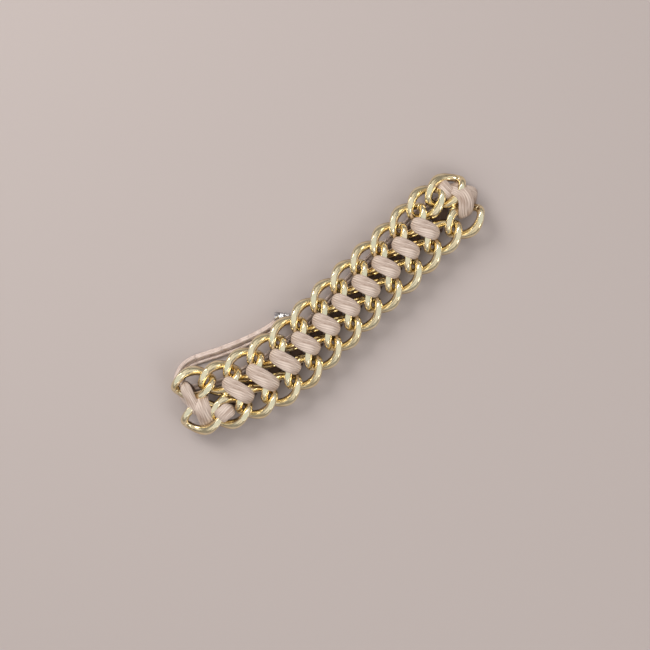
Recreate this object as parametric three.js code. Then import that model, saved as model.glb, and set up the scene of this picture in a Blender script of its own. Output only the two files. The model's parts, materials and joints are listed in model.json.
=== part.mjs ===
// A stretch bracelet: two curb chains side by side, laced together down the middle with a satin
// cord and tied to a bundle of fine elastic strands that is closed by a metal crimp.
// Millimetres, +Z up. +X runs along the strip, +Y points to the upper chain, and the strip lies
// flat on z = 0 with its top face up. The origin is the bottom centre of the whole object.
import * as THREE from 'three';

const radians = (degrees) => degrees * Math.PI / 180;

// ---- driving dimensions ----
const wireDiameter = 2.1;
const wireRadius = wireDiameter / 2;
const linkHalfLength = 4.75;        // centreline of the wire, along the chain
const linkHalfWidth = 3.3;          // centreline of the wire, across the chain
const linkTwist = radians(50);       // at each end of the centreline, in opposite senses
const strandDiameter = 0.85;
const cordWidth = 1.5;              // the satin cord where it is squeezed between two links
const cordThickness = 0.8;
const layerGap = 0.3;               // clearance between two layers
const jointGap = 1.7;               // open length left in the band at each joint
const lacingGap = 1.2;              // open length left in the lacing at each joint

// ---- heights worked out from them ----
const cordUnderZ = strandDiameter + layerGap + cordThickness / 2;
const linkHalfHeight = highestPointOfLink();
const linkZ = cordUnderZ + cordThickness / 2 + layerGap + linkHalfHeight;
const cordOverZ = linkZ + wireRadius + layerGap + cordThickness / 2 + 0.9;

// ---- how each chain lies: the length and heading (degrees) of every step between links ----
const upperLay = {
  anchor: [1.7, 0.9],
  steps: [[6.65, -25], [6.8, -9], [6.78, -5], [6.85, 1.5], [6.95, 4], [6.95, 8],
    [6.9, 6.5], [6.8, 6], [6.8, 6], [6.75, 8.5], [6.35, 8], [5.7, -5]],
};
const lowerLay = {
  anchor: [-1.0, -8.55],
  steps: [[6.95, -25], [6.95, -16], [6.95, -11], [6.95, 1], [6.95, 8], [6.95, 7.5],
    [6.9, 6.5], [6.9, 6.5], [6.9, 6], [6.9, 8.5], [6.9, 7], [6.85, 0]],
};
const anchorLink = 6;               // the link, counted from 0, that stands at the anchor

// ---- finishes ----
const goldMetal = { color: 0xe3c887, roughness: 0.18, metalness: 1.0 };
const satinCord = { color: 0xd6beb2, roughness: 0.55, metalness: 0.0 };
const elasticCord = { color: 0xcdb7a8, roughness: 0.7, metalness: 0.0 };
const silverMetal = { color: 0xc9c9cc, roughness: 0.25, metalness: 1.0 };

const number = (index) => String(index).padStart(2, '0');

// The height of a twisted link above its own middle plane.
function highestPointOfLink() {
  let highest = 0;
  for (let step = 0; step <= 360; step += 1) {
    const angle = radians(step);
    highest = Math.max(highest, linkHalfWidth * Math.sin(angle) * Math.sin(-linkTwist * Math.cos(angle)));
  }
  return highest + wireRadius;
}

// Centres and headings of the links of one chain.
function layOut(lay) {
  const centres = [new THREE.Vector2(0, 0)];
  for (const [length, heading] of lay.steps) {
    const last = centres[centres.length - 1];
    const turn = radians(heading);
    centres.push(new THREE.Vector2(last.x + length * Math.cos(turn), last.y + length * Math.sin(turn)));
  }
  const shift = new THREE.Vector2(...lay.anchor).sub(centres[anchorLink]);
  const headings = lay.steps.map((step) => step[1]);
  return centres.map((centre, index) => {
    const before = headings[Math.max(index - 1, 0)];
    const after = headings[Math.min(index, headings.length - 1)];
    return { centre: centre.clone().add(shift), heading: radians((before + after) / 2) };
  });
}

// One curb link: a ring of round wire, drawn out to an oval and twisted about its long axis.
function linkGeometry() {
  const ring = new THREE.TorusGeometry(1, wireRadius / linkHalfWidth, 8, 15);
  const spot = ring.attributes.position;
  const scale = new THREE.Vector3();
  for (let index = 0; index < spot.count; index += 1) {
    scale.fromBufferAttribute(spot, index);
    const around = Math.atan2(scale.y, scale.x);
    const out = (Math.hypot(scale.x, scale.y) - 1) * linkHalfWidth;
    const up = scale.z * linkHalfWidth;
    const normal = new THREE.Vector2(Math.cos(around) / linkHalfLength, Math.sin(around) / linkHalfWidth);
    normal.normalize();
    const x = linkHalfLength * Math.cos(around) + out * normal.x;
    const y = linkHalfWidth * Math.sin(around) + out * normal.y;
    const twist = -linkTwist * x / linkHalfLength;
    spot.setXYZ(index, x, y * Math.cos(twist) - up * Math.sin(twist), y * Math.sin(twist) + up * Math.cos(twist));
  }
  return ring;
}

// A flat cord of the given width and thickness along a list of points.
function cordGeometry(points, width, thickness, steps) {
  const section = new THREE.Shape();
  section.absellipse(0, 0, thickness / 2, width / 2, 0, 2 * Math.PI, false, 0);
  const path = new THREE.CatmullRomCurve3(points, false, 'centripetal');
  return new THREE.ExtrudeGeometry(section, { steps, curveSegments: 4, extrudePath: path });
}

const bracelet = new THREE.Group();

function addPart(name, geometry, finish) {
  const mesh = new THREE.Mesh(geometry, new THREE.MeshStandardMaterial(finish));
  mesh.name = name;
  bracelet.add(mesh);
  return mesh;
}

const raise = (flat, z) => new THREE.Vector3(flat.x, flat.y, z);
const between = (from, to, share) => from.clone().lerp(to, share);

const upper = layOut(upperLay);
const lower = layOut(lowerLay);

// ---- the links ----
for (const [chainName, chain] of [['upper_link_', upper], ['lower_link_', lower]]) {
  chain.forEach((link, index) => {
    const mesh = addPart(chainName + number(index + 1), linkGeometry(), goldMetal);
    mesh.position.set(link.centre.x, link.centre.y, linkZ);
    mesh.rotation.z = link.heading;
  });
}

// ---- the lacing: ten turns, each over the top of one row and halfway under to the next ----
const rowCount = 10;
const diveInset = 1.0;              // how far towards the strip's middle the cord dives
const rows = [];
for (let row = 0; row < rowCount; row += 1) {
  const upperCentre = upper[row + 1].centre;
  const lowerCentre = lower[row + 2].centre;
  const inwards = lowerCentre.clone().sub(upperCentre).normalize().multiplyScalar(diveInset);
  rows.push({ upperDive: upperCentre.clone().add(inwards), lowerDive: lowerCentre.clone().sub(inwards) });
}

// The point where the lacing changes from one row to the next, and half of the opening there.
function handOver(fromRow, toRow) {
  const from = fromRow.lowerDive;
  const to = toRow.upperDive;
  const half = lacingGap / 2 / from.distanceTo(to);
  return { end: between(from, to, 0.5 - half), start: between(from, to, 0.5 + half) };
}

rows.forEach((row, index) => {
  const points = [];
  const { upperDive, lowerDive } = row;
  if (index > 0) {
    points.push(raise(handOver(rows[index - 1], row).start, cordUnderZ));
    points.push(raise(between(handOver(rows[index - 1], row).start, upperDive, 0.75), cordUnderZ));
  } else {
    points.push(raise(between(upperDive, lowerDive, 0.3), cordUnderZ));
    points.push(raise(between(upperDive, lowerDive, 0.1), cordUnderZ));
  }
  points.push(raise(upperDive, cordUnderZ + 0.6));
  points.push(raise(upperDive, cordOverZ - 0.8));
  points.push(raise(between(upperDive, lowerDive, 0.12), cordOverZ));
  points.push(raise(between(upperDive, lowerDive, 0.5), cordOverZ));
  points.push(raise(between(upperDive, lowerDive, 0.88), cordOverZ));
  points.push(raise(lowerDive, cordOverZ - 0.8));
  points.push(raise(lowerDive, cordUnderZ + 0.6));
  if (index < rowCount - 1) {
    points.push(raise(between(lowerDive, handOver(row, rows[index + 1]).end, 0.25), cordUnderZ));
    points.push(raise(handOver(row, rows[index + 1]).end, cordUnderZ));
  } else {
    points.push(raise(between(lowerDive, upperDive, 0.1), cordUnderZ));
    points.push(raise(between(lowerDive, upperDive, 0.3), cordUnderZ));
  }
  addPart('lacing_turn_' + number(index + 1), cordGeometry(points, cordWidth, cordThickness, 20), satinCord);
});

// ---- the end bindings: short turns of the same cord round the last links ----
// Each turn rises at its first place, crosses on top and dives at its last place.
function bindingGeometry(first, last, overZ) {
  const low = cordUnderZ + 0.3;
  const points = [
    raise(first, low),
    raise(first, overZ - 1.0),
    raise(between(first, last, 0.18), overZ),
    raise(between(first, last, 0.5), overZ + 0.1),
    raise(between(first, last, 0.82), overZ),
    raise(last, overZ - 1.0),
    raise(last, low),
  ];
  return cordGeometry(points, cordWidth, cordThickness, 14);
}

const place = (chainLink, along, across) => {
  const { centre, heading } = chainLink;
  return new THREE.Vector2(
    centre.x + along * Math.cos(heading) - across * Math.sin(heading),
    centre.y + along * Math.sin(heading) + across * Math.cos(heading),
  );
};
const bindingOverZ = linkZ + linkHalfHeight + cordThickness / 2;
const bindings = {
  left_binding_outer: [place(upper[0], -2.3, -0.2), place(lower[0], -1.9, 0.6)],
  left_binding_inner: [place(lower[1], 0, 0.3), place(lower[0], 0.2, -0.8)],
  right_binding_outer: [place(upper[12], 2.45, 0.1), place(lower[12], 1.8, 0.3)],
  right_binding_inner: [place(upper[12], 0.75, 0.1), place(lower[12], 0, 0.3)],
};
for (const [name, [first, last]] of Object.entries(bindings)) {
  addPart(name, bindingGeometry(first, last, bindingOverZ), satinCord);
}

// ---- the joint lines: one across the strip at each pair of interlocked links ----
const jointLines = [];
for (let index = 0; index < upper.length - 2; index += 1) {
  jointLines.push({
    upperEnd: between(upper[index].centre, upper[index + 1].centre, 0.5),
    lowerEnd: between(lower[index + 1].centre, lower[index + 2].centre, 0.5),
  });
}

// Which side of a joint line a place is on: positive towards +X.
function sideOf(line, spot) {
  const along = line.upperEnd.clone().sub(line.lowerEnd);
  return (spot.x - line.lowerEnd.x) * along.y - (spot.y - line.lowerEnd.y) * along.x;
}

// ---- the elastic: strands lying flat on the table, one piece for each body that they cross ----
function bandGeometry(points, width) {
  const flat = width / 2 - strandDiameter * 0.3;
  const half = strandDiameter / 2;
  const section = new THREE.Shape([
    new THREE.Vector2(-half, -flat),
    new THREE.Vector2(-half * 0.4, -width / 2),
    new THREE.Vector2(half * 0.4, -width / 2),
    new THREE.Vector2(half, -flat),
    new THREE.Vector2(half, flat),
    new THREE.Vector2(half * 0.4, width / 2),
    new THREE.Vector2(-half * 0.4, width / 2),
    new THREE.Vector2(-half, flat),
  ]);
  const path = new THREE.CatmullRomCurve3(points, false, 'centripetal');
  return new THREE.ExtrudeGeometry(section, { steps: points.length * 2, extrudePath: path });
}

// Cuts one run of elastic at the joint lines it crosses and adds a piece for every stretch.
function addElastic(name, run, width) {
  const curve = new THREE.CatmullRomCurve3(run.map((spot) => raise(spot, strandDiameter / 2)), false, 'centripetal');
  const trim = jointGap / 2 / curve.getLength();
  const samples = curve.getSpacedPoints(600);
  const cuts = [0];
  for (const line of jointLines) {
    const index = samples.findIndex((spot, order) => order > 0
      && sideOf(line, samples[order - 1]) < 0 && sideOf(line, spot) >= 0);
    if (index > 0) {
      cuts.push(index / 600);
    }
  }
  cuts.push(1);
  for (let piece = 1; piece < cuts.length; piece += 1) {
    const from = cuts[piece - 1] + (piece > 1 ? trim : 0);
    const to = cuts[piece] - (piece < cuts.length - 1 ? trim : 0);
    const count = Math.max(2, Math.round((to - from) * curve.getLength() / 2.5));
    const points = [];
    for (let step = 0; step <= count; step += 1) {
      points.push(curve.getPointAt(from + (to - from) * step / count));
    }
    addPart(name + number(piece), bandGeometry(points, width), elasticCord);
  }
}

// The run under the strip, from the left end to the right end, below the upper chain.
const bandShift = [-1.0, -1.0, -1.0, -1.0, -1.0, -0.9, -0.5, -0.2, 0, 0, -0.2, -0.5, -0.8];
addElastic('elastic_band_', [
  place(upper[0], -1.5, -1.0),
  ...upper.map((link, index) => place(link, index === 0 ? 0.5 : 0, bandShift[index])),
  place(upper[12], 2.6, -1.2),
], 2 * strandDiameter);

// The run that leaves the left end, bows out beside the upper chain and comes in to the crimp.
addElastic('elastic_bow_', [
  place(lower[0], -0.6, 1.2),
  place(upper[0], -3.0, -3.2),
  place(upper[0], -4.2, 0.6),
  place(upper[0], -2.6, 3.9),
  place(upper[0], 0.6, 5.6),
  place(upper[1], 1.1, 6.2),
  place(upper[2], 1.45, 5.2),
  place(upper[3], 0.7, 4.5),
  place(upper[4], -1.2, 3.2),
], 3 * strandDiameter);

// ---- the crimp: a short eight-sided tube, pressed flat where it lies on the table ----
const crimpRadius = 1.1;
const crimpFrom = raise(place(upper[4], 0.1, 5.7), crimpRadius * Math.cos(radians(22.5)));
const crimpTo = raise(place(upper[4], 2.7, 2.9), crimpRadius * Math.cos(radians(22.5)));
const crimpSection = new THREE.Shape();
crimpSection.absellipse(0, 0, crimpRadius, crimpRadius, radians(22.5), radians(382.5), false, 0);
const crimp = new THREE.ExtrudeGeometry(crimpSection, {
  steps: 1,
  curveSegments: 4,
  extrudePath: new THREE.LineCurve3(crimpFrom, crimpTo),
});
addPart('crimp', crimp, silverMetal);

// The bottom centre of the whole object becomes the origin.
const bounds = new THREE.Box3().setFromObject(bracelet, true);
const middle = bounds.getCenter(new THREE.Vector3());
bracelet.position.set(-middle.x, -middle.y, -bounds.min.z);

export default bracelet;
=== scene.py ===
import json
import math
import bmesh
import bpy
from mathutils import Matrix, Vector, noise
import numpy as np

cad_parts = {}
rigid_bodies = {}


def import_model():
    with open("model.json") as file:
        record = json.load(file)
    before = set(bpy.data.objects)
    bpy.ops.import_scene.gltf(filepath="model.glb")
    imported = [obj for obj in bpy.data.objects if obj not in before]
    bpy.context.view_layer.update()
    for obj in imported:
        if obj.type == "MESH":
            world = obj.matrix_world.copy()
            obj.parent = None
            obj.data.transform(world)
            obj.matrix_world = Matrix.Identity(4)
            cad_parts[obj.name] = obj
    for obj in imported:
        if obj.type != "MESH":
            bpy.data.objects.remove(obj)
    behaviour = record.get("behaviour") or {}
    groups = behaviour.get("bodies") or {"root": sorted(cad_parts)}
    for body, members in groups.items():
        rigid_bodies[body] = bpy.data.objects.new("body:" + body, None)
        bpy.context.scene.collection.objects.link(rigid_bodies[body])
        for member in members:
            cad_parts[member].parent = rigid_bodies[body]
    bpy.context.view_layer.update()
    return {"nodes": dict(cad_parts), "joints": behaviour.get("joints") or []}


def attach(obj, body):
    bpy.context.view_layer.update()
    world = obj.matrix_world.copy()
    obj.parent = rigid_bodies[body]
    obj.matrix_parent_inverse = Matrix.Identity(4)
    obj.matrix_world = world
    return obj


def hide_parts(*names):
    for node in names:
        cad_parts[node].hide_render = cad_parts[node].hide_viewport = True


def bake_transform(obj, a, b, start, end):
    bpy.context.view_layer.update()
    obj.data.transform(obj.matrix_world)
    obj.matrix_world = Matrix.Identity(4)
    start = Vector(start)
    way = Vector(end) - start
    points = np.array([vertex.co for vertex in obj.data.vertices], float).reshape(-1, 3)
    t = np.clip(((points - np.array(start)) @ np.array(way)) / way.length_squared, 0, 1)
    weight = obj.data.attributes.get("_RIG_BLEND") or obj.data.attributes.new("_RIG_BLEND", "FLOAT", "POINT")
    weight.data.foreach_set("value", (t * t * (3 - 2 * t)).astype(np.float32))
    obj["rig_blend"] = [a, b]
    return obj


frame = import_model()
mm = 0.001
up = Vector((0, 0, 1))
linkCount = 13
rowCount = 10
bodyOrder = ["left_end"] + [f"row_{row:02d}" for row in range(1, rowCount + 1)] + ["right_end"]
print("frame loaded:", len(frame["nodes"]), "nodes")

# camera: straight above, with the strip running up to the right
camera = {
    "lens": 85.0,
    "sensor": 36.0,
    "viewWidth": 162.5 * mm,  # what the square picture takes in at the height of the links
    "strip": 37.0,  # slope of the strip in the picture, degrees
    "aim": Vector((-3.25, -1.85)) * mm,  # middle of the picture, from the middle of the strip
}


def addCamera():
    data = bpy.data.cameras.new("camera")
    data.lens = camera["lens"]
    data.sensor_width = camera["sensor"]
    obj = bpy.data.objects.new("camera", data)
    bpy.context.scene.collection.objects.link(obj)
    distance = camera["viewWidth"] * camera["lens"] / camera["sensor"]
    obj.location = (*camera["aim"], linkZ + distance)
    obj.rotation_euler = (0, 0, -math.radians(camera["strip"]))
    bpy.context.scene.camera = obj


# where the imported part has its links
def linkPlace(node):
    # the middle of a link and the direction of its long axis, from its own solid
    points = [vert.co for vert in frame["nodes"][node].data.vertices]
    middle = sum(points, Vector()) / len(points)
    xx = sum((point.x - middle.x) ** 2 for point in points)
    yy = sum((point.y - middle.y) ** 2 for point in points)
    xy = sum((point.x - middle.x) * (point.y - middle.y) for point in points)
    return {"middle": middle, "heading": 0.5 * math.atan2(2 * xy, xx - yy)}


upper = [linkPlace(f"upper_link_{index:02d}") for index in range(1, linkCount + 1)]
lower = [linkPlace(f"lower_link_{index:02d}") for index in range(1, linkCount + 1)]
linkZ = upper[6]["middle"].z
addCamera()


def beside(link, along, across, height=0.0):
    # a point given from a link's middle, in millimetres, at a height above the table
    turn = Matrix.Rotation(link["heading"], 3, "Z")
    point = link["middle"] + turn @ Vector((along, across, 0)) * mm
    point.z = height * mm
    return point


# shader maths: Python's operators add Math nodes
class Number:
    def __init__(self, shader, socket):
        self.shader = shader
        self.socket = socket

    def math(self, operation, *values):
        return self.shader.add("Math", {"operation": operation}, *values)

    def __add__(self, other):
        return self.math("ADD", self, other)

    def __radd__(self, other):
        return self.math("ADD", other, self)

    def __sub__(self, other):
        return self.math("SUBTRACT", self, other)

    def __rsub__(self, other):
        return self.math("SUBTRACT", other, self)

    def __mul__(self, other):
        return self.math("MULTIPLY", self, other)

    def __rmul__(self, other):
        return self.math("MULTIPLY", other, self)


class Shader:
    def __init__(self, name):
        self.material = bpy.data.materials.new(name)
        self.material.use_nodes = True
        self.tree = self.material.node_tree
        self.tree.nodes.clear()
        self.surface = self.tree.nodes.new("ShaderNodeBsdfPrincipled")
        output = self.tree.nodes.new("ShaderNodeOutputMaterial")
        self.tree.links.new(self.surface.outputs[0], output.inputs[0])

    def plug(self, socket, value):
        if isinstance(value, Number):
            self.tree.links.new(value.socket, socket)
        elif value is not None:
            socket.default_value = value

    def add(self, kind, settings=None, *values, output=0, **named):
        # one node: its settings first, then its sockets by order or by name
        node = self.tree.nodes.new("ShaderNode" + kind)
        for key, value in (settings or {}).items():
            setattr(node, key, value)
        for socket, value in zip(node.inputs, values):
            self.plug(socket, value)
        for key, value in named.items():
            self.plug(node.inputs[key], value)
        return Number(self, node.outputs[output])

    def mix(self, factor, first, second):
        # the node's colours are its seventh and eighth sockets and its third output
        return self.add("Mix", {"data_type": "RGBA"}, factor, *[None] * 5, first, second, output=2)

    def place(self):
        return self.add("TexCoord", output=3)

    def noise(self, scale, detail=2.0):
        return self.add("TexNoise", Vector=self.place(), Scale=scale, Detail=detail, Roughness=0.5)

    def sine(self, angle):
        # a sine wave brought into the range 0 to 1
        return self.add("Math", {"operation": "SINE"}, angle) * 0.5 + 0.5

    def roundAngle(self):
        # which way round the cord a point lies
        return self.add("Math", {"operation": "ARCTAN2"}, self.attribute("roundY"), self.attribute("roundX"))

    def attribute(self, name):
        return self.add("Attribute", {"attribute_name": name}, output=2)

    def height(self):
        return self.add("SeparateXYZ", None, self.place(), output=2)

    def ramp(self, value, low, high):
        return self.add("MapRange", {"clamp": True}, value, low, high, 0.0, 1.0)

    def bump(self, height, strength, distance):
        return self.add("Bump", None, Strength=strength, Distance=distance, Height=height)

    def finish(self, **sockets):
        for name, value in sockets.items():
            self.plug(self.surface.inputs[name.replace("_", " ")], value)
        return self.material


def colour(red, green, blue):
    return (red, green, blue, 1.0)


# finishes
gold = {
    "pale": colour(0.97, 0.87, 0.61),
    "deep": colour(0.93, 0.75, 0.44),
    # painted reflection: a greyer, greener gold for the flats, standing in for the darker space above them
    # that they mirror
    "cut": colour(0.78, 0.77, 0.57),
    # painted shade: a dark brown on the low parts of the links, standing in for the shade deep in the strip
    "paintedShade": colour(0.28, 0.155, 0.06),
    "shadeLevels": (2.6 * mm, 4.8 * mm),  # painted shade: the brown is full below the first and gone above the second
    "uneven": 0.5 * mm,  # how much the edge of the painted shade wanders up and down
    "roughness": 0.16,
    "dulling": 0.14,  # extra roughness in dull patches
    "cloudScale": 260.0,
    "dullScale": 900.0,
    "scratchScale": 5200.0,
    "scratchDepth": 0.02 * mm,
    "cutCloudScale": 420.0,
    "cutDullScale": 1500.0,
    "cutDulling": 0.12,
    "cutLineScale": 2600.0,  # tool marks left on the flats
    "cutLineDepth": 0.01 * mm,
}


def goldMaterial():
    shader = Shader("pale gold plating")
    cloudy = shader.noise(gold["cloudScale"], 3.0)
    scratch = shader.noise(gold["scratchScale"], 2.0)
    dull = shader.ramp(shader.noise(gold["dullScale"], 4.0), 0.45, 0.8)
    tint = shader.mix(shader.ramp(cloudy, 0.35, 0.75), gold["pale"], gold["deep"])
    # painted shade: below a wandering height the gold turns dark brown
    unshaded = shader.ramp(shader.height() + (cloudy - 0.5) * gold["uneven"], *gold["shadeLevels"])
    tint = shader.mix(unshaded, gold["paintedShade"], tint)
    rough = gold["roughness"] + dull * gold["dulling"]
    normal = shader.bump(scratch, 0.12, gold["scratchDepth"])
    return shader.finish(Base_Color=tint, Metallic=1.0, Roughness=rough, Normal=normal)


def goldCutMaterial():
    shader = Shader("diamond-cut gold")
    lines = shader.add(
        "TexWave", {"wave_type": "BANDS", "bands_direction": "DIAGONAL"},
        Vector=shader.place(), Scale=gold["cutLineScale"], Distortion=2.0, Detail=2.0)
    # painted reflection: the flats are tinted with the greyer cut colour; the tool lines are their own
    tint = shader.mix(shader.ramp(shader.noise(gold["cutCloudScale"]), 0.4, 0.7), gold["cut"], gold["pale"])
    rough = gold["roughness"] + shader.noise(gold["cutDullScale"], 3.0) * gold["cutDulling"]
    normal = shader.bump(lines, 0.05, gold["cutLineDepth"])
    return shader.finish(Base_Color=tint, Metallic=1.0, Roughness=rough, Normal=normal)


satin = {
    "light": colour(0.82, 0.69, 0.60),
    "dark": colour(0.35, 0.23, 0.17),
    # painted shade: a dark brown on the low passes of the cord, standing in for the shade under the strip
    "paintedUnderShade": colour(0.18, 0.11, 0.08),
    "underShadeLevels": (2.6, 5.4),  # millimetres: the painted shade is darkest below the first and gone above the second
    "ribs": 20.0,  # yarns counted round the cord
    "ribDepth": 0.09 * mm,
    "ribShade": 0.42,  # how dark the grooves between yarns are
    "lay": 0.25,  # slant of the yarns: how many are passed in each millimetre along the cord
    "wanderScale": 900.0,
    "wander": 0.2,  # how far a yarn strays, in yarns
    "weft": 26.0,  # radians of the fine cross threads in each millimetre
    "sheen": 0.12,
    "sheenTint": colour(1.0, 0.93, 0.88),
}


def satinMaterial():
    # fine yarns run along the cord; "along" is the length from the piece's start, in millimetres
    shader = Shader("dusty rose satin")
    angle = shader.roundAngle()
    along = shader.attribute("along")
    wander = shader.noise(satin["wanderScale"], 2.0) * satin["wander"]
    ribs = (angle * (satin["ribs"] / math.tau) + wander + along * satin["lay"]) * math.tau
    wave = shader.sine(ribs)
    # long faint streaks: noise squeezed across the cord and stretched along it
    stretched = shader.add("CombineXYZ", None, angle * 5.0, along * 0.22, 0.0)
    streaks = shader.add("TexNoise", Vector=stretched, Scale=1.0, Detail=4.0, Roughness=0.6)
    weft = shader.sine(along * satin["weft"])
    fade = shader.ramp(streaks, 0.30, 0.60)
    tint = shader.mix(fade, satin["dark"], satin["light"])
    tint = shader.mix((1 - wave) * satin["ribShade"], tint, satin["dark"])
    # painted shade: the cord turns dark brown low down, going by the height each point was made at
    unshaded = shader.ramp(shader.attribute("height"), *satin["underShadeLevels"])
    tint = shader.mix(unshaded, satin["paintedUnderShade"], tint)
    height = wave * 0.8 + streaks * 0.5 + weft * 0.08
    rough = 0.38 + streaks * 0.25
    normal = shader.bump(height, 0.55, satin["ribDepth"])
    return shader.finish(
        Base_Color=tint, Roughness=rough, Normal=normal, Specular_IOR_Level=0.45,
        Sheen_Weight=satin["sheen"], Sheen_Roughness=0.35, Sheen_Tint=satin["sheenTint"])


elastic = {
    "light": colour(0.94, 0.80, 0.72),
    "dark": colour(0.46, 0.32, 0.26),
    "turns": 4.0,  # threads wound each way round a strand
    "pitch": 1.6,  # slant of the threads: radians of their pattern in each millimetre
    "roughness": 0.6,
    "threadDepth": 0.04 * mm,
    "sheen": 0.2,
}


def elasticMaterial():
    # a stretched sleeve: its threads lie nearly lengthwise and cross each other at a shallow angle
    shader = Shader("beige elastic sleeve")
    angle = shader.roundAngle()
    along = shader.attribute("along")
    winding = angle * elastic["turns"]
    advance = along * elastic["pitch"]
    first = shader.add("Math", {"operation": "SINE"}, winding + advance)
    second = shader.add("Math", {"operation": "SINE"}, winding - advance)
    braid = shader.add("Math", {"operation": "MAXIMUM"}, first, second) * 0.5 + 0.5
    lengthwise = shader.add("CombineXYZ", None, angle * 2.2, along * 0.5, 0.0)
    lines = shader.add("TexNoise", Vector=lengthwise, Scale=1.0, Detail=3.0, Roughness=0.55)
    tint = shader.mix(shader.ramp(lines, 0.35, 0.65), elastic["dark"], elastic["light"])
    tint = shader.mix(braid * 0.3, tint, elastic["light"])
    normal = shader.bump(braid * 0.5 + lines, 0.6, elastic["threadDepth"])
    return shader.finish(
        Base_Color=tint, Roughness=elastic["roughness"], Normal=normal, Sheen_Weight=elastic["sheen"])


crimp = {
    "bright": colour(0.95, 0.95, 0.96),
    "worn": colour(0.22, 0.20, 0.21),
    "spotScale": 1400.0,
    "roughness": 0.18,
    "spotRoughness": 0.35,  # added where it is worn
    "spotDepth": 0.03 * mm,
}


def crimpMaterial():
    shader = Shader("bright crimp metal")
    spots = shader.ramp(shader.noise(crimp["spotScale"], 3.0), 0.45, 0.62)
    tint = shader.mix(spots, crimp["bright"], crimp["worn"])
    rough = crimp["roughness"] + spots * crimp["spotRoughness"]
    normal = shader.bump(spots, 0.3, crimp["spotDepth"])
    return shader.finish(Base_Color=tint, Metallic=1.0, Roughness=rough, Normal=normal)


goldFinish = goldMaterial()
goldCutFinish = goldCutMaterial()
satinFinish = satinMaterial()
elasticFinish = elasticMaterial()
crimpFinish = crimpMaterial()


def toObject(bm, name, materials):
    mesh = bpy.data.meshes.new(name)
    bm.to_mesh(mesh)
    bm.free()
    for material in materials:
        mesh.materials.append(material)
    obj = bpy.data.objects.new(name, mesh)
    bpy.context.scene.collection.objects.link(obj)
    return obj


# the links
link = {
    "halfLength": 4.75 * mm,  # wire centreline along the chain
    "halfWidth": 3.3 * mm,  # wire centreline across the chain
    "wire": 1.26 * mm,  # wire radius half way along the arms
    "tipWire": 1.06 * mm,  # and at the ends, where two links pass each other
    "twist": math.radians(50),
    "cutDepth": 0.23 * mm,  # how much the diamond cut takes off the highest place
    "stations": 96,
    "sides": 32,
    "seamWidth": 0.05,  # of the wire radius
    "seamSink": 0.86,  # the wire's radius in the seam, of its radius beside it
    "taper": 6,  # how suddenly the wire thins away from mid-arm
}


def linkMesh():
    # a circle spun into a ring, drawn out to an oval, twisted about its long axis and cut flat top and bottom
    bm = bmesh.new()
    ratio = link["wire"] / link["halfWidth"]
    thin = link["tipWire"] / link["wire"]
    section = bmesh.ops.create_circle(bm, segments=link["sides"], radius=ratio)["verts"]
    bmesh.ops.rotate(bm, verts=section, cent=(0, 0, 0), matrix=Matrix.Rotation(math.pi / 2, 3, "X"))
    bmesh.ops.translate(bm, verts=section, vec=(-1, 0, 0))
    bmesh.ops.spin(
        bm, geom=bm.verts[:] + bm.edges[:], cent=(0, 0, 0), axis=(0, 0, 1), angle=math.tau,
        steps=link["stations"], use_merge=True)
    bmesh.ops.remove_doubles(bm, verts=bm.verts, dist=1e-5)
    # the soldered seam: one ring of the wire at the left tip, bevelled and sunk
    seam = [edge for edge in bm.edges if all(abs(vert.co.y) < 1e-4 and vert.co.x < 0 for vert in edge.verts)]
    made = bmesh.ops.bevel(
        bm, geom=seam, offset=ratio * link["seamWidth"], offset_type="OFFSET", affect="EDGES",
        segments=2, profile=0.5, material=-1)
    sunk = [vert for vert in made["verts"] if abs(vert.co.y) < 1e-4]
    bmesh.ops.scale(bm, verts=sunk, vec=[link["seamSink"]] * 3, space=Matrix.Translation((1, 0, 0)))
    for vert in bm.verts:
        around = math.atan2(vert.co.y, vert.co.x)
        thickness = thin + (1 - thin) * math.sin(around) ** link["taper"]
        out = (math.hypot(vert.co.x, vert.co.y) - 1) * link["halfWidth"] * thickness
        height = vert.co.z * link["halfWidth"] * thickness
        side = Vector((math.cos(around) / link["halfLength"], math.sin(around) / link["halfWidth"]))
        side.normalize()
        x = link["halfLength"] * math.cos(around) + out * side.x
        y = link["halfWidth"] * math.sin(around) + out * side.y
        twist = -link["twist"] * x / link["halfLength"]
        level = y * math.cos(twist) - height * math.sin(twist)
        raised = y * math.sin(twist) + height * math.cos(twist)
        vert.co = (x, level, raised)
    bmesh.ops.recalc_face_normals(bm, faces=bm.faces)
    top = max(vert.co.z for vert in bm.verts) - link["cutDepth"]
    for face in bm.faces:
        face.smooth = True
    for sense in (1, -1):
        geom = bm.verts[:] + bm.edges[:] + bm.faces[:]
        cut = bmesh.ops.bisect_plane(
            bm, geom=geom, dist=1e-7, plane_co=(0, 0, sense * top), plane_no=(0, 0, sense), clear_outer=True)
        rim = [item for item in cut["geom_cut"] if isinstance(item, bmesh.types.BMEdge)]
        caps = bmesh.ops.holes_fill(bm, edges=rim, sides=0)["faces"]
        for face in caps:
            face.smooth = False
            face.material_index = 1
    return bm


linkTemplate = linkMesh()
print("link:", len(linkTemplate.faces), "faces")


def addLink(chain, places, index, body):
    # the seams of the right half point to the right, those of the left half to the left
    place = places[index]
    bm = linkTemplate.copy()
    heading = place["heading"] + (math.pi if index > linkCount // 2 else 0)
    matrix = Matrix.Translation(place["middle"]) @ Matrix.Rotation(heading, 4, "Z")
    bmesh.ops.transform(bm, matrix=matrix, verts=bm.verts)
    node = f"{chain}_{index + 1:02d}"
    obj = toObject(bm, node + "_fine", (goldFinish, goldCutFinish))
    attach(obj, body)
    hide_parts(node)


def bodyAt(order):
    return bodyOrder[min(max(order, 0), len(bodyOrder) - 1)]


for index in range(linkCount):
    addLink("upper_link", upper, index, bodyAt(index))
    addLink("lower_link", lower, index, bodyAt(index - 1))
print("links made:", 2 * linkCount)


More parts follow.
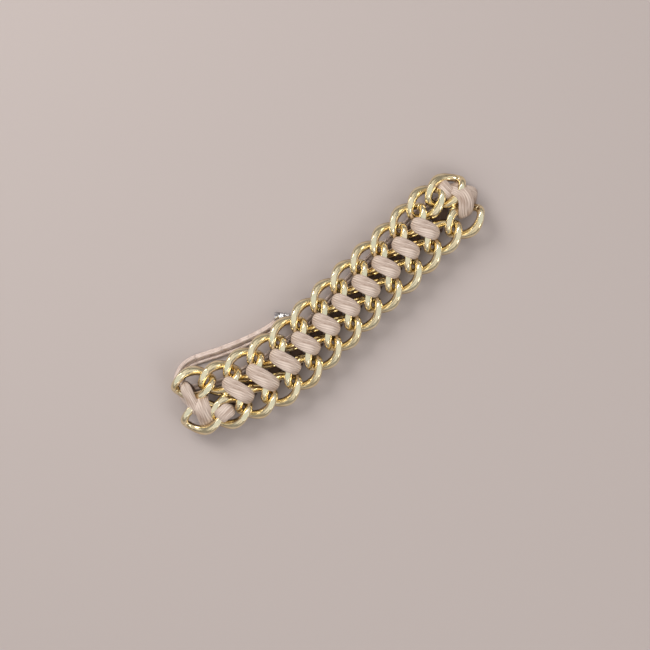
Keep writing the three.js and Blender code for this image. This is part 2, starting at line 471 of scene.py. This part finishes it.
# cords: a section carried along a smooth line
def smoothLine(rows, perSpan):
    # a Catmull-Rom line through rows of numbers; every column is smoothed the same way
    line = []
    last = len(rows) - 1
    for index in range(last):
        before, start, end, after = (rows[min(max(index + step, 0), last)] for step in (-1, 0, 1, 2))
        for step in range(perSpan):
            share = step / perSpan
            line.append([
                0.5 * (2 * b + (c - a) * share + (2 * a - 5 * b + 4 * c - d) * share ** 2
                       + (3 * b - a - 3 * c + d) * share ** 3)
                for a, b, c, d in zip(before, start, end, after)
            ])
    line.append(list(rows[last]))
    return line


def extrudeRing(bm, edges):
    # carries an open ring of edges on by one step, and gives the new ring's points and edges
    made = bmesh.ops.extrude_edge_only(bm, edges=edges)["geom"]
    ring = [item for item in made if isinstance(item, bmesh.types.BMVert)]
    inRing = set(ring)
    edges = [item for item in made if isinstance(item, bmesh.types.BMEdge)
             and item.verts[0] in inRing and item.verts[1] in inRing]
    return ring, edges


def cordMesh(bm, rows, sides, perSpan, lengthBefore=0.0):
    # each row: x, y, z, width, thickness, the x and y of the flat way across, and the lean about the cord
    line = smoothLine(rows, perSpan)
    spots = [Vector(row[:3]) for row in line]
    circle = bmesh.ops.create_circle(bm, segments=sides, radius=0.5, cap_ends=False)["verts"]
    for vert in circle:
        vert[bm.verts.layers.float["roundX"]] = vert.co.x
        vert[bm.verts.layers.float["roundY"]] = vert.co.y
    edges = list({edge for vert in circle for edge in vert.link_edges})
    current = Matrix.Identity(4)
    ring = circle
    length = lengthBefore
    bmesh.ops.contextual_create(bm, geom=edges)
    for index, spot in enumerate(spots):
        ahead = spots[min(index + 1, len(spots) - 1)] - spots[max(index - 1, 0)]
        tangent = ahead.normalized()
        across = Vector((line[index][5], line[index][6], 0))
        across = (across - tangent * across.dot(tangent)).normalized()
        rise = tangent.cross(across)
        lean = line[index][7]
        leantAcross = across * math.cos(lean) + rise * math.sin(lean)
        leantRise = rise * math.cos(lean) - across * math.sin(lean)
        wanted = Matrix.Identity(4)
        for column, axis in enumerate((leantAcross * line[index][3], leantRise * line[index][4], tangent)):
            for rowIndex in range(3):
                wanted[rowIndex][column] = axis[rowIndex]
        wanted.translation = spot
        if index > 0:
            ring, edges = extrudeRing(bm, edges)
            length += (spot - spots[index - 1]).length / mm
        bmesh.ops.transform(bm, matrix=wanted @ current.inverted(), verts=ring)
        for vert in ring:
            vert[bm.verts.layers.float["along"]] = length
            vert[bm.verts.layers.float["height"]] = vert.co.z / mm
        current = wanted
    bmesh.ops.contextual_create(bm, geom=edges)


def newCord():
    bm = bmesh.new()
    for name in ("along", "height", "roundX", "roundY"):
        bm.verts.layers.float.new(name)
    return bm


def cordObject(bm, name, finish):
    bmesh.ops.recalc_face_normals(bm, faces=bm.faces)
    for face in bm.faces:
        face.smooth = len(face.verts) == 4
    return toObject(bm, name, (finish,))


def jointOf(bodyA, bodyB):
    return next(joint for joint in frame["joints"] if {joint["parent"], joint["child"]} == {bodyA, bodyB})


def bendAt(obj, order, reach):
    # the piece bends at the joint between two neighbouring bodies, over a stretch of the strip
    first, second = bodyOrder[order], bodyOrder[order + 1]
    joint = jointOf(first, second)
    middle = Vector(joint["pos_m"])
    axis = Vector(joint["axis"])
    forward = axis.cross(up).normalized()
    forward *= 1 if forward.x > 0 else -1
    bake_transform(obj, first, second, start=middle - forward * reach, end=middle + forward * reach)


# the satin lacing
lacing = {
    "inset": 1.7,  # how far inwards of a link's middle the cord dives, millimetres
    "widths": {"window": 2.0, "shoulder": 3.3, "top": 4.15, "under": 3.2},
    "thicks": {"window": 1.3, "shoulder": 1.5, "top": 1.5, "under": 0.62},
    "roll": 14.0,  # degrees that the cord leans with the arm it crosses
    "underZ": 1.56,  # height of the cord's middle where it runs under the strip
    "crown": 0.6,  # height of the cord's middle over wire that lies level
    "sides": 28,
    "perSpan": 6,
    "bend": 1.3 * mm,
}


def flatWay(start, end):
    # the level direction square to a stretch of cord, pointing along the strip
    way = (end - start).cross(up).normalized()
    return way if way.x > 0 else -way


def row(point, height, size, way, roll=0.0, spread=1.0):
    width = lacing["widths"][size] * spread * mm
    return [point.x, point.y, height * mm, width, lacing["thicks"][size] * mm, way.x, way.y,
            math.radians(lacing["roll"] * roll)]


def dives(order):
    # where the lacing goes down through the upper and the lower chain in one row
    top = upper[order + 1]["middle"]
    bottom = lower[order + 2]["middle"]
    inwards = (bottom - top).normalized() * lacing["inset"] * mm
    return top + inwards, bottom - inwards


def overRows(start, end, high):
    # from low in one window, over the top and down to low in the other
    way = flatWay(start, end)
    out = (start - end).normalized() * mm
    return [
        row(start + out * 0.1, 2.4, "window", way),
        row(start + out * 0.1, 4.2, "window", way),
        row(start - out * 0.1, 5.4, "shoulder", way, 0.6),
        row(start.lerp(end, 0.22), high - 0.1, "top", way, 1.0),
        row(start.lerp(end, 0.5), high, "top", way),
        row(start.lerp(end, 0.78), high - 0.1, "top", way, -1.0),
        row(end + out * 0.1, 5.4, "shoulder", way, -0.6),
        row(end - out * 0.1, 4.2, "window", way),
        row(end - out * 0.1, 2.4, "window", way),
    ]


def underRows(start, end):
    way = flatWay(start, end)
    return [
        row(start.lerp(end, 0.2), lacing["underZ"], "under", way),
        row(start.lerp(end, 0.8), lacing["underZ"], "under", way),
    ]


def addLacing():
    # row by row from left to right; each piece is one turn and the pass under the strip to the next
    rightHole = beside(upper[12], 0.75, 0.1)
    leftHole = beside(lower[1], 0.0, 0.5)
    high = (linkZ + link["wire"]) / mm + lacing["crown"]
    for order in range(-1, rowCount):
        bm = newCord()
        rows = []
        if order >= 0:
            top, bottom = dives(order)
            rows = overRows(top, bottom, high)
        else:
            bottom = leftHole
            rows = [row(leftHole, 2.4, "window", flatWay(leftHole, leftHole + Vector((0, mm, 0))))]
        if order < rowCount - 1:
            following = dives(order + 1)[0]
        else:
            following = rightHole
        rows += underRows(bottom, following)
        rows.append(row(following, 2.4, "window", flatWay(bottom, following)))
        cordMesh(bm, rows, lacing["sides"], lacing["perSpan"])
        name = f"lacing_turn_{order + 1:02d}" if order >= 0 else "lacing_lead"
        obj = cordObject(bm, name + "_satin", satinFinish)
        bendAt(obj, order + 1, lacing["bend"])
        if order >= 0:
            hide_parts(name)


addLacing()
print("lacing made:", rowCount, "turns")


# the end bindings
def closedUnder(rows, way):
    # carries both ends down and on under the strip until they meet
    first, last = (Vector((*rows[index][:2], 0)) for index in (0, -1))
    middle = first.lerp(last, 0.5)
    before = [row(spot, lacing["underZ"], "under", way) for spot in (middle, first.lerp(middle, 0.4))]
    after = [row(spot, lacing["underZ"], "under", way) for spot in (last.lerp(middle, 0.4), middle)]
    return before + rows + after


def addBinding(name, rows, body, node=None):
    bm = newCord()
    cordMesh(bm, rows, lacing["sides"], lacing["perSpan"])
    obj = cordObject(bm, name, satinFinish)
    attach(obj, body)
    if node:
        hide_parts(node)


def bindingRows(start, end, high, spread):
    # a loop that goes down at both ends and crosses over the top between them
    way = flatWay(start, end)
    return closedUnder([
        row(start, 2.4, "window", way),
        row(start, 4.6, "window", way, 0.0, spread),
        row(start.lerp(end, 0.12), high - 0.3, "shoulder", way, 0.5, spread),
        row(start.lerp(end, 0.5), high, "shoulder", way, 0.0, spread),
        row(start.lerp(end, 0.88), high - 0.3, "shoulder", way, -0.5, spread),
        row(end, 4.6, "window", way, 0.0, spread),
        row(end, 2.4, "window", way),
    ], way)


def strayRows(near, places, spread):
    # places: along and across from the near link's middle and the height above the table, all in millimetres
    points = [beside(near, along, across) for along, across, height in places]
    way = flatWay(points[0], points[-1])
    rows = [row(point, place[2], "shoulder", way, 0.0, spread) for point, place in zip(points, places)]
    return closedUnder(rows, way)


addBinding(
    "left_binding_outer_satin",
    bindingRows(beside(upper[0], -2.3, 0.3), beside(lower[0], -1.3, 1.5), 6.4, 0.85),
    "left_end", "left_binding_outer")
addBinding(
    "left_binding_inner_satin",
    bindingRows(beside(lower[1], 0.3, 0.8), beside(lower[1], -3.2, -0.6), 6.9, 1.15),
    "left_end", "left_binding_inner")
addBinding(
    "left_binding_loop_satin",
    strayRows(lower[0], [
        (0.2, 4.7, 4.2), (0.2, 3.9, 5.9), (0.4, 2.2, 6.8),
        (0.6, 0.4, 6.2), (0.8, -1.3, 4.6), (0.8, -1.8, 3.0),
    ], 1.25),
    "left_end")
addBinding(
    "right_binding_outer_satin",
    strayRows(upper[12], [
        (2.0, 0.0, 3.2), (2.4, -0.8, 4.8), (3.2, -2.8, 6.7),
        (3.0, -4.8, 6.9), (1.7, -7.0, 5.6), (1.3, -7.7, 3.2),
    ], 1.2),
    "right_end", "right_binding_outer")
addBinding(
    "right_binding_inner_satin",
    strayRows(upper[12], [
        (0.1, 2.1, 3.2), (0.2, 1.5, 4.9), (0.3, 0.0, 5.7), (0.6, -1.2, 5.0), (0.7, -1.6, 3.2),
    ], 0.95),
    "right_end", "right_binding_inner")
addBinding(
    "right_binding_loop_satin",
    strayRows(upper[12], [
        (1.7, -3.2, 5.0), (4.3, -3.0, 5.6), (5.5, -4.6, 4.8), (4.4, -6.3, 2.6),
    ], 0.95),
    "right_end")
print("bindings made")


# the elastic strands
strand = {
    "radius": 0.42,  # millimetres
    "sides": 12,
    "perSpan": 12,  # steps between two points of the run
    "bend": 1.6 * mm,
    "gather": 0.4,  # how close the strands are drawn together at their ends
    "gatherSteps": 16,  # from an end, the spacing grows by one over this at each step
    "wander": 0.16,  # how far a strand strays to the side, millimetres
    "wanderScale": 90.0,
    "wanderSeed": 7.3,  # gives each strand its own wandering
}


def lineLength(points):
    return sum((b - a).length for a, b in zip(points, points[1:]))


def addStrands(name, run, offsets, pieces, nodes):
    # run: points of the bundle's middle; offsets: across and up for each strand, in millimetres;
    # pieces: how many joints it crosses
    line = [Vector(spot) for spot in smoothLine([list(point) for point in run], strand["perSpan"])]
    sides = []
    for index in range(len(line)):
        ahead = line[min(index + 1, len(line) - 1)] - line[max(index - 1, 0)]
        sides.append(ahead.cross(up).normalized())
    last = len(line) - 1
    gather = [
        min(1.0, strand["gather"] + min(index, last - index) / strand["gatherSteps"])
        for index in range(last + 1)
    ]
    # cut half way between one joint and the next
    cuts = [0]
    for order in range(pieces - 1):
        joint = jointOf(bodyOrder[order], bodyOrder[order + 1])
        following = jointOf(bodyOrder[order + 1], bodyOrder[order + 2])
        forward = Vector(following["axis"]).cross(up)
        forward *= 1 if forward.x > 0 else -1
        middle = (Vector(joint["pos_m"]) + Vector(following["pos_m"])) / 2
        ahead = range(cuts[-1] + 1, len(line))
        cuts.append(next(index for index in ahead if (line[index] - middle).dot(forward) > 0))
    cuts.append(last)
    for piece in range(pieces):
        bm = newCord()
        lengthBefore = lineLength(line[:cuts[piece] + 1]) / mm
        for number, (across, height) in enumerate(offsets):
            rows = []
            for index in [*range(cuts[piece], cuts[piece + 1], 2), cuts[piece + 1]]:
                share = gather[index]
                rows.append(strandRow(line[index], sides[index], across * share, height * share, number))
            cordMesh(bm, rows, strand["sides"], 2, lengthBefore)
        obj = cordObject(bm, f"{name}_{piece + 1:02d}", elasticFinish)
        bendAt(obj, piece, strand["bend"])
        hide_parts(*nodes[piece])


def strandRow(spot, side, across, height, number):
    # a strand wanders a little to the side, so that no two lie quite alike
    seed = Vector((spot.x * strand["wanderScale"], number * strand["wanderSeed"], 0))
    wander = noise.noise(seed) * strand["wander"]
    place = spot + side * (across + wander) * mm
    size = 2 * strand["radius"] * mm
    return [place.x, place.y, spot.z + (strand["radius"] + height) * mm, size, size, side.x, side.y, 0.0]


# how far the bundle lies to the side of each upper link's middle, millimetres
bandShift = [-1.0, -1.0, -1.0, -1.0, -1.0, -0.9, -0.5, -0.2, 0, 0, -0.2, -0.5, -0.8]
bandRun = [beside(upper[0], -2.2, 0.2, 2.0), beside(upper[0], -1.6, -0.7, 0.5)]
bandRun += [beside(place, 0.5 if index == 0 else 0.0, bandShift[index]) for index, place in enumerate(upper)]
bandRun += [beside(upper[12], 1.7, -0.7, 0.6), beside(upper[12], 2.0, 0.0, 2.6)]
bandNodes = [[f"elastic_band_{piece:02d}"] for piece in range(1, 12)]
bandNodes[-1].append("elastic_band_12")
bandOffsets = ((-0.42, 0), (0.42, 0))
addStrands("elastic_run", bandRun, bandOffsets, len(bandNodes), bandNodes)

bowRun = [
    beside(lower[0], 0.8, -1.4, 2.2),
    beside(lower[0], 0.4, -0.3, 0.5),
    beside(lower[0], -0.6, 1.2),
    beside(upper[0], -3.0, -3.2),
    beside(upper[0], -4.2, 0.6),
    beside(upper[0], -2.6, 3.9),
    beside(upper[0], 0.6, 5.6),
    beside(upper[1], 1.1, 6.2),
    beside(upper[2], 1.45, 5.2),
    beside(upper[3], 0.7, 4.5),
    beside(upper[4], -1.4, 3.9),
    beside(upper[4], 1.3, 4.2, 0.3),
]
bowNodes = [[f"elastic_bow_{piece:02d}"] for piece in range(1, 5)]
bowNodes[-1].append("elastic_bow_05")
bowOffsets = ((-0.85, 0), (0.0, 0), (0.85, 0), (-0.4, 0.72))
addStrands("elastic_outer", bowRun, bowOffsets, len(bowNodes), bowNodes)
print("elastic made")


# the crimp: a ferrule with an open mouth, a smooth collar and a knurled, pinched barrel
ferrule = {
    "radius": 1.15 * mm,
    "rest": 1.02,  # height of its middle above the table, in radii
    "sides": 28,
    "knurl": 0.07 * mm,  # height of the knurl's points
    "pinch": 0.08,  # how much the barrel is squeezed at its middle
    "pinchPlace": 0.68,  # where along it that is
    "barrel": 7,  # rings of knurling
    "collarEnd": 1.4 * mm,  # where the smooth collar stops and the knurling starts
    "tailLength": 0.4 * mm,  # from the last ring of knurling to the far end
    "margin": 0.05 * mm,  # plain metal left between two points of the knurl
    # distance from the mouth and share of the radius: from inside the mouth, out over the lip, to the collar
    "mouth": [
        (0.9 * mm, 0.3), (0.9 * mm, 0.62), (0.12 * mm, 0.66), (0.0, 0.74), (0.0, 0.86), (0.1 * mm, 0.97),
        (0.25 * mm, 1.0), (1.1 * mm, 1.0), (1.2 * mm, 0.93), (1.3 * mm, 0.93), (1.4 * mm, 0.98),
    ],
    # distance from the far end and share of the radius
    "tail": [(0.25 * mm, 0.96), (0.08 * mm, 0.88), (0.0, 0.7), (0.0, 0.2)],
}


def addCrimp():
    start = beside(upper[4], 0.1, 5.7)
    end = beside(upper[4], 2.8, 2.8)
    length = (end - start).length
    radius = ferrule["radius"]
    bm = bmesh.new()
    collarEnd = ferrule["collarEnd"]
    reach = length - collarEnd - ferrule["tailLength"]
    rings = ferrule["barrel"]
    profile = list(ferrule["mouth"])
    profile += [(collarEnd + reach * step / rings, 0.98) for step in range(1, rings + 1)]
    profile += [(length - back, share) for back, share in ferrule["tail"]]
    circle = bmesh.ops.create_circle(bm, segments=ferrule["sides"], radius=radius)["verts"]
    edges = list({edge for vert in circle for edge in vert.link_edges})
    bmesh.ops.contextual_create(bm, geom=edges)
    ring, now, size = circle, 0.0, 1.0
    for index, (spot, share) in enumerate(profile):
        if index > 0:
            ring, edges = extrudeRing(bm, edges)
        bmesh.ops.scale(bm, verts=ring, vec=(share / size, share / size, 1))
        bmesh.ops.translate(bm, verts=ring, vec=(0, 0, spot - now))
        now, size = spot, share
    bmesh.ops.contextual_create(bm, geom=edges)
    bmesh.ops.recalc_face_normals(bm, faces=bm.faces)
    lowest = collarEnd + 0.01 * mm
    knurled = [
        face for face in bm.faces
        if len(face.verts) == 4 and abs(face.normal.z) < 0.2 and face.calc_center_median().z > lowest
    ]
    bmesh.ops.inset_individual(bm, faces=knurled, thickness=ferrule["margin"], depth=ferrule["knurl"])
    for vert in bm.verts:
        squeeze = math.exp(-((vert.co.z / length - ferrule["pinchPlace"]) * 5) ** 2) * ferrule["pinch"]
        vert.co.x *= 1 - squeeze
        vert.co.y *= 1 + squeeze * 0.5
    # it was modelled standing up: lay it down, with the squeezed way upwards
    tangent = (end - start).normalized()
    across = tangent.cross(up)
    matrix = Matrix((up, across, tangent)).transposed().to_4x4()
    matrix.translation = Vector((start.x, start.y, radius * ferrule["rest"]))
    bmesh.ops.transform(bm, matrix=matrix, verts=bm.verts)
    bmesh.ops.recalc_face_normals(bm, faces=bm.faces)
    for face in bm.faces:
        face.smooth = len(face.verts) == 4
    obj = toObject(bm, "crimp_ferrule", (crimpFinish,))
    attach(obj, "row_04")
    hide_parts("crimp")


addCrimp()
print("crimp made")


# floor and light
stage = {
    "floorHalf": 0.6,
    "floor": colour(0.52, 0.455, 0.435),
    "floorRoughness": 0.75,
    "air": colour(1.0, 0.97, 0.95),
    "airStrength": 0.26,
}


def addFloor():
    bm = bmesh.new()
    bmesh.ops.create_grid(bm, x_segments=1, y_segments=1, size=stage["floorHalf"])
    shader = Shader("plain pale floor")
    material = shader.finish(Base_Color=stage["floor"], Roughness=stage["floorRoughness"])
    floor = toObject(bm, "floor", (material,))


def addLight(name, place, size, power, tint):
    data = bpy.data.lights.new(name, "AREA")
    data.shape = "RECTANGLE"
    data.size = size
    data.size_y = size
    data.energy = power
    data.color = tint
    obj = bpy.data.objects.new(name, data)
    bpy.context.scene.collection.objects.link(obj)
    obj.location = place
    obj.rotation_euler = (-Vector(place)).to_track_quat("-Z", "Y").to_euler()


def addWorld():
    world = bpy.data.worlds.new("studio")
    world.use_nodes = True
    background = world.node_tree.nodes["Background"]
    background.inputs["Color"].default_value = stage["air"]
    background.inputs["Strength"].default_value = stage["airStrength"]
    bpy.context.scene.world = world


studio = {
    "distance": 0.37,
    "height": 0.36,
    "tint": (1.0, 0.98, 0.96),
    "key": 98,  # direction of the first softbox, degrees
    "size": [0.28, 0.36, 0.36, 0.30, 0.36, 0.36],  # six square softboxes standing round the object
    "power": [1.45, 0.22, 0.2, 0.62, 0.2, 0.22],  # their watts
    "overhead": 0.34,  # watts
    "overheadHeight": 0.62,
    "overheadSize": 0.45,
}


def addStudio():
    step = 360 / len(studio["size"])
    for index, (size, power) in enumerate(zip(studio["size"], studio["power"])):
        angle = math.radians(studio["key"] + step * index)
        spot = (studio["distance"] * math.cos(angle), studio["distance"] * math.sin(angle), studio["height"])
        addLight(f"softbox_{index + 1}", spot, size, power, studio["tint"])
    above = (0.0, 0.0, studio["overheadHeight"])
    addLight("overhead softbox", above, studio["overheadSize"], studio["overhead"], studio["tint"])


addFloor()
addStudio()
addWorld()
bpy.context.scene.view_settings.view_transform = "Standard"
print("stage made")
